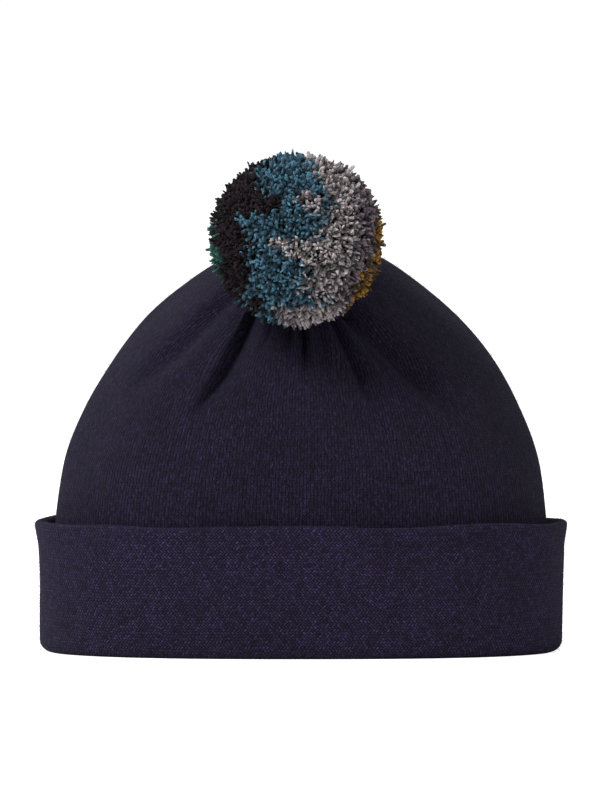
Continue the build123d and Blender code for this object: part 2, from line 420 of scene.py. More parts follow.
def cuff_section():
    """The cuff's closed section, as inset from its outer face and height, outside going up."""
    inner = CUFF_WALL + CUFF_GAP + BODY_WALL
    lip = CUFF_WALL / 2
    outer_face = np.linspace(5.5, CUFF_HEIGHT - lip - 1.2, 42)
    pocket = np.linspace(CUFF_HEIGHT - lip - 1.2, FOLD_TOP + 0.8, 16)
    runs = [
        [(inner, FOLD_TOP)],
        rounded((inner - 1.8, 1.8), 1.8, 0, -90, 6),
        rounded((5.0, 5.0), 5.0, -90, -180, 10),
        np.stack([np.zeros(42), outer_face], -1),
        rounded((lip, CUFF_HEIGHT - lip), lip, 180, 0, 10),
        np.stack([np.full(16, CUFF_WALL), pocket], -1),
        [(CUFF_WALL + 0.8, FOLD_TOP), (inner, FOLD_TOP)],
    ]
    return np.concatenate([np.asarray(run, float) for run in runs])


def cuff_points(columns):
    """The cuff as a grid of points: its section carried round the hat."""
    angles = even_angles(columns)
    inset, height = cuff_section().T
    lean = CUFF_LEAN * height / CUFF_HEIGHT + 1.1 * rise(height, CUFF_HEIGHT - 12, CUFF_HEIGHT - 1)
    ring = superellipse(angles, 1.0, 1.0)
    grow = (lean - inset)[:, None]
    x = (CUFF_HIGH[0] - CUFF_LEAN + grow) * ring[None, :, 0]
    y = (CUFF_HIGH[1] - CUFF_LEAN + grow) * ring[None, :, 1]
    z = np.repeat(height[:, None], len(angles), axis=1)
    points = np.stack([x, y, z], -1)
    outward = np.stack([ring[:, 0], ring[:, 1], np.zeros(len(angles))], -1)
    outward /= np.linalg.norm(outward, axis=1, keepdims=True)
    free = rise(z, 4.0, 30.0)[..., None]
    points += outward[None] * free * (0.5 * waviness(points, 46.0, 11) + 0.05)[..., None]
    top = rise(z, CUFF_HEIGHT - 14, CUFF_HEIGHT)
    points[..., 2] += top * 0.8 * waviness(np.stack([x, y, x * 0], -1), 60.0, 5)
    seam = abs((angles - np.pi / 2 + np.pi) % (2 * np.pi) - np.pi)[None, :]
    dip = 0.8 * np.exp(-((seam / 0.014) ** 2)) * rise(z, 3.0, 7.0)
    points -= outward[None] * dip[..., None]
    points[:, -1] = points[:, 0]
    return points


# Finishes


def node_group(name, inputs, outputs):
    """An empty shader node group with its two ends."""
    group = bpy.data.node_groups.new(name, "ShaderNodeTree")
    for label, kind, value in inputs:
        socket = group.interface.new_socket(label, in_out="INPUT", socket_type=kind)
        if value is not None:
            socket.default_value = value
    for label, kind in outputs:
        group.interface.new_socket(label, in_out="OUTPUT", socket_type=kind)
    return group, group.nodes.new("NodeGroupInput"), group.nodes.new("NodeGroupOutput")


def feed(tree, socket, value):
    """Links an output to the socket, or sets the socket's own value."""
    if isinstance(value, bpy.types.NodeSocket):
        tree.links.new(value, socket)
    else:
        socket.default_value = value


def calc(tree, operation, *values):
    """One Math node."""
    node = tree.nodes.new("ShaderNodeMath")
    node.operation = operation
    for socket, value in zip(node.inputs, values):
        feed(tree, socket, value)
    return node.outputs[0]


def vector_calc(tree, operation, *values):
    node = tree.nodes.new("ShaderNodeVectorMath")
    node.operation = operation
    for socket, value in zip(node.inputs, values):
        feed(tree, socket, value)
    return node.outputs[0]


def noise(tree, vector, scale, detail=2.0, roughness=0.5):
    node = tree.nodes.new("ShaderNodeTexNoise")
    feed(tree, node.inputs["Vector"], vector)
    node.inputs["Scale"].default_value = scale
    node.inputs["Detail"].default_value = detail
    node.inputs["Roughness"].default_value = roughness
    return node.outputs["Fac"]


def blend_colour(tree, factor, first, second, how="MIX"):
    node = tree.nodes.new("ShaderNodeMix")
    node.data_type = "RGBA"
    node.blend_type = how
    feed(tree, node.inputs["Factor"], factor)
    feed(tree, node.inputs["A"], first)
    feed(tree, node.inputs["B"], second)
    return node.outputs["Result"]


def ramp(tree, value, low, high, to_low=0.0, to_high=1.0):
    """A clamped, smooth map of value from low..high to to_low..to_high."""
    node = tree.nodes.new("ShaderNodeMapRange")
    node.interpolation_type = "SMOOTHSTEP"
    feed(tree, node.inputs["Value"], value)
    for label, number in zip(("From Min", "From Max", "To Min", "To Max"), (low, high, to_low, to_high)):
        node.inputs[label].default_value = number
    return node.outputs[0]


def uneven_stitches(tree, stitches):
    """The stitch coordinates, with the wander that real stitches have."""
    texture = tree.nodes.new("ShaderNodeTexNoise")
    feed(tree, texture.inputs["Vector"], stitches)
    texture.inputs["Scale"].default_value = 0.45
    texture.inputs["Detail"].default_value = 2.0
    wander = vector_calc(tree, "SUBTRACT", texture.outputs["Color"], (0.5, 0.5, 0.5))
    wander = vector_calc(tree, "MULTIPLY", wander, (0.75, 0.9, 0.0))
    return vector_calc(tree, "ADD", stitches, wander)


def split(tree, vector):
    node = tree.nodes.new("ShaderNodeSeparateXYZ")
    feed(tree, node.inputs[0], vector)
    return node.outputs[0], node.outputs[1]


def stitch_chance(tree, u, v):
    """A random number for each stitch."""
    cell = tree.nodes.new("ShaderNodeCombineXYZ")
    feed(tree, cell.inputs[0], calc(tree, "FLOOR", u))
    feed(tree, cell.inputs[1], calc(tree, "FLOOR", v))
    dice = tree.nodes.new("ShaderNodeTexWhiteNoise")
    dice.noise_dimensions = "2D"
    feed(tree, dice.inputs["Vector"], cell.outputs[0])
    return dice.outputs["Value"]


def stockinette_group():
    """The smooth face of the knit: columns of V stitches."""
    group, ends_in, ends_out = node_group(
        "Stockinette", [("Stitches", "NodeSocketVector", None)],
        [("Height", "NodeSocketFloat"), ("Chance", "NodeSocketFloat")],
    )
    stitches = uneven_stitches(group, ends_in.outputs[0])
    u, v = split(group, stitches)
    across = calc(group, "ABSOLUTE", calc(group, "SUBTRACT", calc(group, "FRACT", u), 0.5))
    gap = ramp(group, across, 0.26, 0.47, 1.0, 0.0)
    leg = calc(group, "MULTIPLY", gap, ramp(group, across, 0.0, 0.1, 0.55, 1.0))
    slanted = calc(group, "MULTIPLY_ADD", across, -1.9, v)
    bead = calc(group, "COSINE", calc(group, "MULTIPLY", slanted, 2 * math.pi))
    height = calc(group, "MULTIPLY", leg, calc(group, "MULTIPLY_ADD", bead, 0.36, 0.66))
    fibre = noise(group, vector_calc(group, "MULTIPLY", stitches, (9.0, 3.0, 1.0)), 1.0, 2.0, 0.7)
    height = calc(group, "MULTIPLY_ADD", fibre, 0.35, height)
    feed(group, ends_out.inputs["Height"], height)
    chance = stitch_chance(group, calc(group, "MULTIPLY", u, 2.0), slanted)
    feed(group, ends_out.inputs["Chance"], chance)
    return group


def purl_group():
    """The rough face of the knit: rows of small arcs, each row half a stitch along."""
    group, ends_in, ends_out = node_group(
        "Purl", [("Stitches", "NodeSocketVector", None)],
        [("Height", "NodeSocketFloat"), ("Chance", "NodeSocketFloat")],
    )
    stitches = uneven_stitches(group, ends_in.outputs[0])
    u, v = split(group, stitches)
    course = calc(group, "FLOOR", v)
    shifted = calc(group, "MULTIPLY_ADD", calc(group, "MODULO", course, 2.0), 0.5, u)
    x = calc(group, "SUBTRACT", calc(group, "FRACT", shifted), 0.5)
    y = calc(group, "SUBTRACT", calc(group, "FRACT", v), 0.5)
    side = calc(group, "MULTIPLY_ADD", calc(group, "MODULO", course, 2.0), 1.5, -0.75)
    bowed = calc(group, "MULTIPLY_ADD", x, side, y)
    wide = calc(group, "POWER", calc(group, "DIVIDE", calc(group, "ABSOLUTE", x), 0.56), 2.0)
    tall = calc(group, "POWER", calc(group, "DIVIDE", calc(group, "ABSOLUTE", bowed), 0.46), 2.0)
    bump = calc(group, "MAXIMUM", calc(group, "SUBTRACT", 1.0, calc(group, "ADD", wide, tall)), 0.0)
    bump = calc(group, "POWER", bump, 0.6)
    fibre = noise(group, vector_calc(group, "MULTIPLY", stitches, (3.5, 7.0, 1.0)), 1.0, 2.0, 0.7)
    feed(group, ends_out.inputs["Height"], calc(group, "MULTIPLY_ADD", fibre, 0.45, bump))
    feed(group, ends_out.inputs["Chance"], stitch_chance(group, shifted, v))
    return group


def yarn_and_shade_group():
    """Yarn spun from fibres of several colours, with painted shade in the crevices between the stitches."""
    group, ends_in, ends_out = node_group(
        "Yarn and Crevice Shade",
        [
            ("Yarn", "NodeSocketColor", None), ("Cool Fleck", "NodeSocketColor", None),
            ("Warm Fleck", "NodeSocketColor", None), ("Height", "NodeSocketFloat", 0.5),
            ("Chance", "NodeSocketFloat", 0.5), ("Depth", "NodeSocketFloat", 0.6),
            ("Spread", "NodeSocketFloat", 1.0),
        ],
        [("Color", "NodeSocketColor")],
    )
    place = group.nodes.new("ShaderNodeTexCoord").outputs["Object"]
    cool = ramp(group, noise(group, place, 950.0, 2.0, 0.6), 0.50, 0.66)
    shifted = vector_calc(group, "ADD", place, (3.1, 1.7, 0.4))
    warm = ramp(group, noise(group, shifted, 800.0, 2.0, 0.6), 0.55, 0.68)
    cool = calc(group, "MULTIPLY", cool, 0.9)
    colour = blend_colour(group, cool, ends_in.outputs["Yarn"], ends_in.outputs["Cool Fleck"])
    colour = blend_colour(group, calc(group, "MULTIPLY", warm, 0.65), colour, ends_in.outputs["Warm Fleck"])
    patchy = noise(group, place, 28.0, 3.0, 0.6)
    odds = calc(group, "SUBTRACT", ends_in.outputs["Chance"], 0.5)
    light = calc(group, "MULTIPLY_ADD", odds, ends_in.outputs["Spread"], 1.0)
    light = calc(group, "MULTIPLY", light, ramp(group, patchy, 0.3, 0.7, 0.88, 1.12))
    # Painted shade: the colour darkens where the stitch height is low, in the crevices; the depth input
    # sets how dark.
    dark = ramp(group, ends_in.outputs["Height"], 0.25, 0.92)
    painted_shade = calc(group, "MULTIPLY", calc(group, "SUBTRACT", 1.0, dark), ends_in.outputs["Depth"])
    dark = calc(group, "SUBTRACT", 1.0, painted_shade)
    shade = group.nodes.new("ShaderNodeCombineColor")
    for socket in shade.inputs[:3]:
        feed(group, socket, calc(group, "MULTIPLY", light, dark))
    feed(group, ends_out.inputs[0], blend_colour(group, 1.0, colour, shade.outputs[0], "MULTIPLY"))
    return group


def shared_group(name, make):
    """A node group, made the first time that it's asked for."""
    return bpy.data.node_groups.get(name) or make()


def plain_shader(name, roughness, sheen, tint):
    """A new material's tree and its Principled shader, set up as matt fibre."""
    material = bpy.data.materials.new(name)
    material.use_nodes = True
    shader = material.node_tree.nodes["Principled BSDF"]
    shader.inputs["Roughness"].default_value = roughness
    shader.inputs["Specular IOR Level"].default_value = 0.25
    shader.inputs["Sheen Weight"].default_value = sheen
    shader.inputs["Sheen Roughness"].default_value = 0.45
    shader.inputs["Sheen Tint"].default_value = (*tint, 1.0)
    return material, material.node_tree, shader


def knit_finish(name, group_name, make, depth, relief_share, spread):
    """Knitted yarn of mixed colour fibres, with the stitches of one face of the knit and painted shade in
    their crevices.
    """
    found = bpy.data.materials.get(name)
    if found:
        return found
    knit = bpy.context.scene.beanie_knit
    material, tree, shader = plain_shader(name, 0.95, 0.05, (0.45, 0.45, 0.75))
    stitches = tree.nodes.new("ShaderNodeUVMap")
    stitches.uv_map = "knit"
    pattern = tree.nodes.new("ShaderNodeGroup")
    pattern.node_tree = shared_group(group_name, make)
    feed(tree, pattern.inputs["Stitches"], stitches.outputs[0])
    shaded_yarn = tree.nodes.new("ShaderNodeGroup")
    shaded_yarn.node_tree = shared_group("Yarn and Crevice Shade", yarn_and_shade_group)
    feed(tree, shaded_yarn.inputs["Yarn"], (*knit.colour, 1.0))
    feed(tree, shaded_yarn.inputs["Cool Fleck"], (*knit.cool_fleck, 1.0))
    feed(tree, shaded_yarn.inputs["Warm Fleck"], (*knit.warm_fleck, 1.0))
    feed(tree, shaded_yarn.inputs["Height"], pattern.outputs["Height"])
    feed(tree, shaded_yarn.inputs["Chance"], pattern.outputs["Chance"])
    # depth sets how dark the painted shade in the stitch crevices is.
    shaded_yarn.inputs["Depth"].default_value = depth
    shaded_yarn.inputs["Spread"].default_value = spread
    feed(tree, shader.inputs["Base Color"], shaded_yarn.outputs[0])
    bump = tree.nodes.new("ShaderNodeBump")
    bump.inputs["Distance"].default_value = knit.relief * relief_share
    feed(tree, bump.inputs["Height"], pattern.outputs["Height"])
    feed(tree, shader.inputs["Normal"], bump.outputs[0])
    return material


def smooth_face():
    return knit_finish("smooth_knit", "Stockinette", stockinette_group, 0.93, 1.5, 1.35)


def rough_face():
    return knit_finish("rough_knit", "Purl", purl_group, 0.95, 1.2, 0.95)


def cord_finish():
    """Twisted yarn in the hat's colour, for the seams and ties, with painted shade where the fibre noise is
    low.
    """
    found = bpy.data.materials.get("tie_yarn")
    if found:
        return found
    knit = bpy.context.scene.beanie_knit
    material, tree, shader = plain_shader("tie_yarn", 0.95, 0.05, (0.45, 0.45, 0.75))
    place = tree.nodes.new("ShaderNodeTexCoord").outputs["Object"]
    fibre = noise(tree, place, 2600.0, 3.0, 0.65)
    shaded_yarn = tree.nodes.new("ShaderNodeGroup")
    shaded_yarn.node_tree = shared_group("Yarn and Crevice Shade", yarn_and_shade_group)
    feed(tree, shaded_yarn.inputs["Yarn"], (*knit.colour, 1.0))
    feed(tree, shaded_yarn.inputs["Cool Fleck"], (*knit.cool_fleck, 1.0))
    feed(tree, shaded_yarn.inputs["Warm Fleck"], (*knit.warm_fleck, 1.0))
    # Painted shade: the yarn group darkens the colour where the fibre noise is low, at its default strength
    # of 0.6.
    feed(tree, shaded_yarn.inputs["Height"], fibre)
    feed(tree, shader.inputs["Base Color"], shaded_yarn.outputs[0])
    bump = tree.nodes.new("ShaderNodeBump")
    bump.inputs["Distance"].default_value = 0.0004
    feed(tree, bump.inputs["Height"], fibre)
    feed(tree, shader.inputs["Normal"], bump.outputs[0])
    return material


def pom_finish(colour_name):
    """Cut yarn: each end has its own shade, its fibres streak along it, and painted shade darkens it
    towards its root.
    """
    pom = bpy.context.scene.beanie_pom
    colour = getattr(pom, colour_name)
    material, tree, shader = plain_shader(f"{colour_name}_yarn", 0.95, 0.06, (0.8, 0.8, 0.85))
    tuft = tree.nodes.new("ShaderNodeAttribute")
    tuft.attribute_name = "tuft"
    channel = tree.nodes.new("ShaderNodeSeparateColor")
    feed(tree, channel.inputs[0], tuft.outputs["Color"])
    shade, tip = channel.outputs[0], channel.outputs[1]
    place = tree.nodes.new("ShaderNodeTexCoord").outputs["Object"]
    fibre = noise(tree, place, 1900.0, 3.0, 0.7)
    light = calc(tree, "MULTIPLY_ADD", shade, 1.5, 0.2)
    # Painted shade: darker towards the root of each end, deep among the tufts, and darkest on the core.
    light = calc(tree, "MULTIPLY", light, ramp(tree, tip, 0.45, 1.0, 0.07, 1.0))
    light = calc(tree, "MULTIPLY", light, ramp(tree, fibre, 0.3, 0.7, 0.45, 1.45))
    grey = tree.nodes.new("ShaderNodeCombineColor")
    for socket in grey.inputs[:3]:
        feed(tree, socket, light)
    shaded = blend_colour(tree, 1.0, (*colour, 1.0), grey.outputs[0], "MULTIPLY")
    feed(tree, shader.inputs["Base Color"], shaded)
    bump = tree.nodes.new("ShaderNodeBump")
    bump.inputs["Distance"].default_value = 0.0005
    feed(tree, bump.inputs["Height"], fibre)
    feed(tree, shader.inputs["Normal"], bump.outputs[0])
    return material


# Pieces


class BEANIE_OT_crown(bpy.types.Operator):
    """Knits the body and crown, one stockinette tube folded and gathered at the top"""

    bl_idname = "beanie.crown"
    bl_label = "Crown"

    def execute(self, context):
        knit = context.scene.beanie_knit
        points, outside_rows = crown_points(COLUMNS)
        shares = wale_shares(points)
        wales = 2 * HALF_ROUND / (knit.wale_pitch / MM)
        mesh, face_rows = tube_mesh("crown_knit", points, wales, shares, knit.course_pitch / MM)
        mesh.polygons.foreach_set("material_index", (face_rows >= outside_rows - 1).astype(int))
        piece = new_piece(
            "crown_knit", mesh, "hat", ["crown_body"], [smooth_face(), rough_face()]
        )
        return {"FINISHED"}


class BEANIE_OT_cuff(bpy.types.Operator):
    """Knits the turned-up cuff, which shows the rough face of the knit"""

    bl_idname = "beanie.cuff"
    bl_label = "Cuff"

    def execute(self, context):
        knit = context.scene.beanie_knit
        points = cuff_points(COLUMNS + 48)
        around = 2 * HALF_ROUND * CUFF_HIGH[0] / HALF_WIDTH
        wales = around / (knit.wale_pitch / MM)
        rows = len(points) - 1
        mesh, _ = tube_mesh("cuff_knit", points, wales, np.ones(rows), knit.course_pitch / MM)
        piece = new_piece("cuff_knit", mesh, "hat", ["turned_up_cuff"], [rough_face()])
        return {"FINISHED"}


def pom_colour(points):
    """Which bundle each place on the pom belongs to, as an index into COLOURS."""
    x, h = points[:, 0], points[:, 2]
    ragged = waviness(points[None], 15.0, 21)[0] * 1.7 + waviness(points[None], 6.0, 22)[0] * 1.1
    heights = np.array([-32.0, -24.0, -13.0, 0.0, 9.0, 16.0, 26.0, 36.0])
    edges = [
        [-31.0, -31.0, -32.5, -35.0, -35.5, -35.5, -35.0, -34.0],
        [-17.0, -22.5, -20.0, -21.5, -22.0, -14.0, -18.7, -12.0],
        [-3.0, 4.0, 4.0, 4.0, 11.0, 16.0, 11.5, 4.0],
        [18.5, 18.0, 22.0, 25.5, 27.5, 27.0, 24.0, 17.6],
        [20.5, 23.0, 29.0, 34.5, 34.5, 34.8, 35.2, 36.0],
    ]
    index = np.zeros(len(points), int)
    for edge in edges:
        index += x + ragged > np.interp(h, heights, edge)
    strays = [
        ((-3.0, 0.0), (7.5, 2.8), 3), ((2.5, -4.5), (3.5, 3.5), 3), ((4.0, 20.0), (4.0, 3.0), 3),
        ((9.5, 15.8), (3.8, 3.2), 3), ((1.2, -18.0), (3.0, 2.2), 3), ((-6.0, -31.5), (5.0, 4.5), 3),
        ((10.0, -25.0), (2.4, 1.8), 2), ((-17.5, -27.0), (4.2, 3.0), 1), ((-14.0, 17.0), (5.5, 3.0), 1),
        ((8.0, 3.0), (3.5, 2.0), 2), ((-24.0, -24.5), (3.0, 2.0), 2), ((-24.0, 10.5), (2.6, 2.0), 2),
    ]
    for (cx, ch), (wide, tall), colour in strays:
        inside = ((x - cx) / wide) ** 2 + ((h - ch) / tall) ** 2 + 0.25 * ragged < 1
        index[inside & (points[:, 1] < 0)] = colour
    return index


def even_directions(count, rng):
    """count unit vectors spread evenly and a little unevenly over the ball."""
    i = np.arange(count)
    z = 1 - (2 * i + 1) / count
    turn = i * math.pi * (3 - math.sqrt(5))
    flat = np.sqrt(1 - z**2)
    found = np.stack([flat * np.cos(turn), flat * np.sin(turn), z], -1)
    found += rng.normal(scale=0.45 / math.sqrt(count), size=found.shape)
    return found / np.linalg.norm(found, axis=1, keepdims=True)


def tuft_model():
    """One two-ply yarn end along +Z, 1 long and about 1 in radius, made by extruding its outline."""
    bm = bmesh.new()
    sides = 5
    bmesh.ops.create_circle(bm, segments=sides, radius=0.75, cap_ends=False)
    stations = [(0.45, 1.0), (0.84, 1.12), (1.0, 0.9)]
    lift = 0.0
    for level, radius in stations:
        before = set(bm.verts)
        rim = [edge for edge in bm.edges if len(edge.link_faces) < 2]
        border = [edge for edge in rim if min(v.co.z for v in edge.verts) > lift - 1e-6]
        bmesh.ops.extrude_edge_only(bm, edges=border)
        ring = [v for v in bm.verts if v not in before]
        for v in ring:
            angle = math.atan2(v.co.y, v.co.x)
            ply = 1 + 0.20 * math.cos(2 * angle - 3.5 * level)
            v.co = Vector((math.cos(angle), math.sin(angle), 0)) * radius * ply
            v.co.z = level
        lift = level
    top = [edge for edge in bm.edges if edge.is_boundary and all(v.co.z > 0.99 for v in edge.verts)]
    bmesh.ops.contextual_create(bm, geom=top)
    bmesh.ops.poke(bm, faces=[f for f in bm.faces if len(f.verts) > 4])
    bmesh.ops.triangulate(bm, faces=bm.faces)
    mesh = bpy.data.meshes.new("tuft_model")
    bm.to_mesh(mesh)
    bm.free()
    co = np.empty(len(mesh.vertices) * 3)
    mesh.vertices.foreach_get("co", co)
    co = co.reshape(-1, 3)
    faces = np.empty(len(mesh.loops), int)
    mesh.loops.foreach_get("vertex_index", faces)
    bpy.data.meshes.remove(mesh)
    return co, faces.reshape(-1, 3)


def placed_tufts(roots, directions, lengths, radii, rng):
    """Every tuft's points, triangles and how near its tip each point is."""
    co, faces = tuft_model()
    count, each = len(roots), len(co)
    side = np.cross(directions, rng.normal(size=directions.shape))
    side /= np.linalg.norm(side, axis=1, keepdims=True)
    other = np.cross(directions, side)
    bend = rng.uniform(0.1, 1.7, size=(count, 1))
    along = co[None, :, 2]
    x = co[None, :, 0] * radii[:, None] + bend * lengths[:, None] * 0.42 * along**2
    y = co[None, :, 1] * radii[:, None]
    z = along * lengths[:, None]
    points = (
        roots[:, None]
        + side[:, None] * x[..., None]
        + other[:, None] * y[..., None]
        + directions[:, None] * z[..., None]
    )
    triangles = faces[None] + (np.arange(count) * each)[:, None, None]
    return points.reshape(-1, 3), triangles.reshape(-1, 3), np.tile(co[:, 2], count), each


def fibre_blades(roots, directions, lengths, width, rng):
    """Thin, curved, two-part blades: the loose fibres of a yarn."""
    count = len(roots)
    side = np.cross(directions, rng.normal(size=directions.shape))
    side /= np.linalg.norm(side, axis=1, keepdims=True)
    curl = np.cross(directions, side) * rng.normal(scale=0.45, size=(count, 1))
    points = []
    for f, share in ((0.0, 1.0), (0.55, 0.8), (1.0, 0.15)):
        middle = roots + directions * (lengths * f)[:, None] + curl * (lengths * f * f)[:, None]
        points += [middle - side * width * share / 2, middle + side * width * share / 2]
    points = np.stack(points, 1)
    quads = np.array([[0, 1, 3, 2], [2, 3, 5, 4]])
    faces = quads[None] + (np.arange(count) * 6)[:, None, None]
    return points.reshape(-1, 3), faces.reshape(-1, 4)


def pom_radius(directions):
    """The trimmed ball isn't quite round, and is cut closer where it turns against the crown."""
    towards_hat = -directions @ NECK
    lumps = 0.016 * waviness(directions[None] * 36.0, 34.0, 8)[0] * (1 - rise(towards_hat, -0.45, 0.1))
    close_cut = 0.056 * rise(towards_hat, -0.3, 0.2) + 0.06 * rise(towards_hat, 0.93, 0.99)
    return POM_RADIUS * (1 + lumps - close_cut)


class BEANIE_OT_pom(bpy.types.Operator):
    """Makes the pom's six bundles of cut yarn"""

    bl_idname = "beanie.pom"
    bl_label = "Pom"

    def execute(self, context):
        pom = context.scene.beanie_pom
        rng = np.random.default_rng(41)
        out = even_directions(pom.tufts, rng)
        length = pom.tuft_length / MM * rng.uniform(0.85, 1.15, pom.tufts)
        reach = pom_radius(out) + rng.normal(scale=0.3, size=pom.tufts) - 1.5
        tilt = rng.normal(size=out.shape)
        tilt -= out * (tilt * out).sum(1, keepdims=True)
        tilt *= rng.uniform(0.3, 1.7, (pom.tufts, 1)) / np.linalg.norm(tilt, axis=1, keepdims=True)
        lean = out + tilt
        lean /= np.linalg.norm(lean, axis=1, keepdims=True)
        tips = out * reach[:, None]
        roots = tips - lean * length[:, None]
        radii = pom.tuft_radius / MM * rng.uniform(0.8, 1.25, pom.tufts)
        index = pom_colour(out * POM_RADIUS + rng.normal(scale=0.8, size=out.shape) * (1, 0, 1))
        # Painted shade: each tuft's shade is random, and about 38 percent of tufts are made nearly black,
        # as tufts in shade.
        in_shade = rng.random(pom.tufts) < 0.38
        shade = np.where(in_shade, rng.uniform(0, 0.22, pom.tufts), rng.uniform(0.35, 1, pom.tufts))
        for k, name in enumerate(COLOURS):
            self.bundle(name, k, index, roots, lean, length, radii, shade, rng)
        return {"FINISHED"}

    def bundle(self, name, k, index, roots, lean, length, radii, shade, rng):
        """One colour's yarn ends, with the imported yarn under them."""
        mine = index == k
        points, triangles, tip, each = placed_tufts(roots[mine], lean[mine], length[mine], radii[mine], rng)
        tuft_shade = np.repeat(shade[mine], each)
        starts = (roots + lean * (length * 0.7)[:, None])[mine]
        strays = lean[mine] + rng.normal(scale=0.55, size=(mine.sum(), 3))
        strays /= np.linalg.norm(strays, axis=1, keepdims=True)
        blades, blade_faces = fibre_blades(starts, strays, rng.uniform(0.7, 1.4, mine.sum()), 0.10, rng)
        bm = bmesh.new()
        bmesh.ops.create_icosphere(bm, subdivisions=5, radius=1.0)
        core = bpy.data.meshes.new("core")
        directions = np.array([f.calc_center_median().normalized() for f in bm.faces])
        under = pom_colour(directions * POM_RADIUS) == k
        bm.faces.ensure_lookup_table()
        bmesh.ops.delete(bm, geom=[f for f, keep in zip(bm.faces, under) if not keep], context="FACES")
        for v in bm.verts:
            v.co *= (POM_RADIUS - 4.6) * (1 + 0.01 * math.sin(40 * v.co.x) * math.sin(37 * v.co.z))
        bm.to_mesh(core)
        bm.free()
        core_co = np.empty(len(core.vertices) * 3)
        core.vertices.foreach_get("co", core_co)
        core_faces = np.empty(len(core.loops), int)
        core.loops.foreach_get("vertex_index", core_faces)
        bpy.data.meshes.remove(core)
        core_co, core_faces = core_co.reshape(-1, 3), core_faces.reshape(-1, 3)
        everything = np.concatenate([points, core_co, blades]) + POM_CENTRE
        faces = triangles.tolist() + (core_faces + len(points)).tolist()
        faces += (blade_faces + len(points) + len(core_co)).tolist()
        mesh = bpy.data.meshes.new(f"{name}_bundle")
        mesh.from_pydata(everything * MM, [], faces)
        values = np.zeros((len(everything), 4), np.float32)
        # Painted shade: the core ball gets a low tip value, so its finish paints it nearly black, as shade
        # under the tufts.
        values[:, 0] = np.concatenate([tuft_shade, np.full(len(core_co), 0.4), np.full(len(blades), 0.8)])
        values[:, 1] = np.concatenate([tip, np.full(len(core_co), 0.1), np.full(len(blades), 1.0)])
        values[:, 3] = 1
        attribute = mesh.attributes.new("tuft", "FLOAT_COLOR", "POINT")
        attribute.data.foreach_set("color", values.ravel())
        new_piece(f"{name}_bundle", mesh, "pom", [f"pom_{name}"], [pom_finish(name)])


def cord_points(path, radius, turns, closed=False, sides=10):
    """A two-ply cord along a path: rows along it, columns round it. Its ends are drawn to a point."""
    path = np.asarray(path, float)
    if closed:
        ahead = np.roll(path[:-1], -1, 0) - np.roll(path[:-1], 1, 0)
        tangents = np.concatenate([ahead, ahead[:1]])
    else:
        tangents = np.gradient(path, axis=0)
    tangents /= np.linalg.norm(tangents, axis=1, keepdims=True)
    sideways = [np.cross(tangents[0], (0.31, 0.22, 0.93))]
    for tangent in tangents:
        side = sideways[-1] - tangent * (sideways[-1] @ tangent)
        sideways.append(side / np.linalg.norm(side))
    side = np.array(sideways[1:])
    other = np.cross(tangents, side)
    slip = math.atan2(side[-1] @ other[0], side[-1] @ side[0]) if closed else 0.0
    along = np.linspace(0, 1, len(path))[:, None]
    round_it = np.linspace(0, 2 * np.pi, sides + 1)[None, :]
    reach = radius * (0.80 + 0.20 * np.cos(2 * (round_it - 2 * np.pi * turns * along)))
    turned = round_it - slip * along
    points = path[:, None] + reach[..., None] * (
        np.cos(turned)[..., None] * side[:, None] + np.sin(turned)[..., None] * other[:, None]
    )
    points[:, -1] = points[:, 0]
    if closed:
        points[-1] = points[0]
        return points
    start, end = np.repeat(path[:1, None], sides + 1, 1), np.repeat(path[-1:, None], sides + 1, 1)
    return np.concatenate([start, points, end])


def cord_piece(name, path, radius, turns, body, node, closed=False):
    points = cord_points(path, radius, turns, closed)
    mesh, _ = tube_mesh(name, points, 10, np.ones(len(points) - 1), 1.0)
    return new_piece(name, mesh, body, [node], [cord_finish()])


def ring_path(node, ring_radius, thread_radius, leaning):
    """The centre line of a thread ring, worked out from its box; leaning gives its axis's signs."""
    low, high = (np.array(corner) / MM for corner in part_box(node))
    share = ((high - low) / 2 - thread_radius) / ring_radius
    axis = np.sign(leaning) * np.sqrt(np.clip(1 - share**2, 0, 1))
    axis /= np.linalg.norm(axis)
    side = np.cross(axis, (0.9, 0.1, 0.3))
    side /= np.linalg.norm(side)
    a = np.linspace(0, 2 * np.pi, 73)[:, None]
    return (low + high) / 2 + ring_radius * (np.cos(a) * side + np.sin(a) * np.cross(axis, side))


def knot_path(node, yarn_radius):
    """A closed line wound round and round a ball, as a tight knot is."""
    low, high = (np.array(corner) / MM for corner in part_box(node))
    a = np.linspace(0, 2 * np.pi, 221)[:, None]
    ball = np.concatenate([np.sin(3 * a) * np.cos(5 * a), np.sin(3 * a) * np.sin(5 * a), np.cos(3 * a)], 1)
    return (low + high) / 2 + ball * ((high - low).min() / 2 - yarn_radius)


class BEANIE_OT_ties(bpy.types.Operator):
    """Twists the gathering thread, the knots and the threads that hold the pom"""

    bl_idname = "beanie.ties"
    bl_label = "Ties"

    def execute(self, context):
        gather = ring_path("gather_thread", 3.6, 0.9, (1, -1, 1))
        cord_piece("gather_yarn", gather, 0.95, 6, "hat", "gather_thread", True)
        binding = ring_path("pom_binding_cord", 5.0, 1.1, NECK)
        cord_piece("binding_yarn", binding, 1.15, 8, "pom", "pom_binding_cord", True)
        anchor = knot_path("anchor_knot", 1.0)
        cord_piece("anchor_yarn_knot", anchor, 1.05, 14, "hat", "anchor_knot", True)
        knot = knot_path("tie_knot", 0.8)
        cord_piece("tie_yarn_knot", knot, 0.85, 12, "tie_knot", "tie_knot", True)
        low = np.array(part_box("tie_threads")[0]) / MM
        length = (TIE_POINT[1] - low[1]) / abs(NECK[1])
        path = TIE_POINT + NECK * np.linspace(1.2, length, 60)[:, None]
        cord_piece("tie_yarn", path, 1.35, length / 5, "tie_threads", "tie_threads")
        return {"FINISHED"}


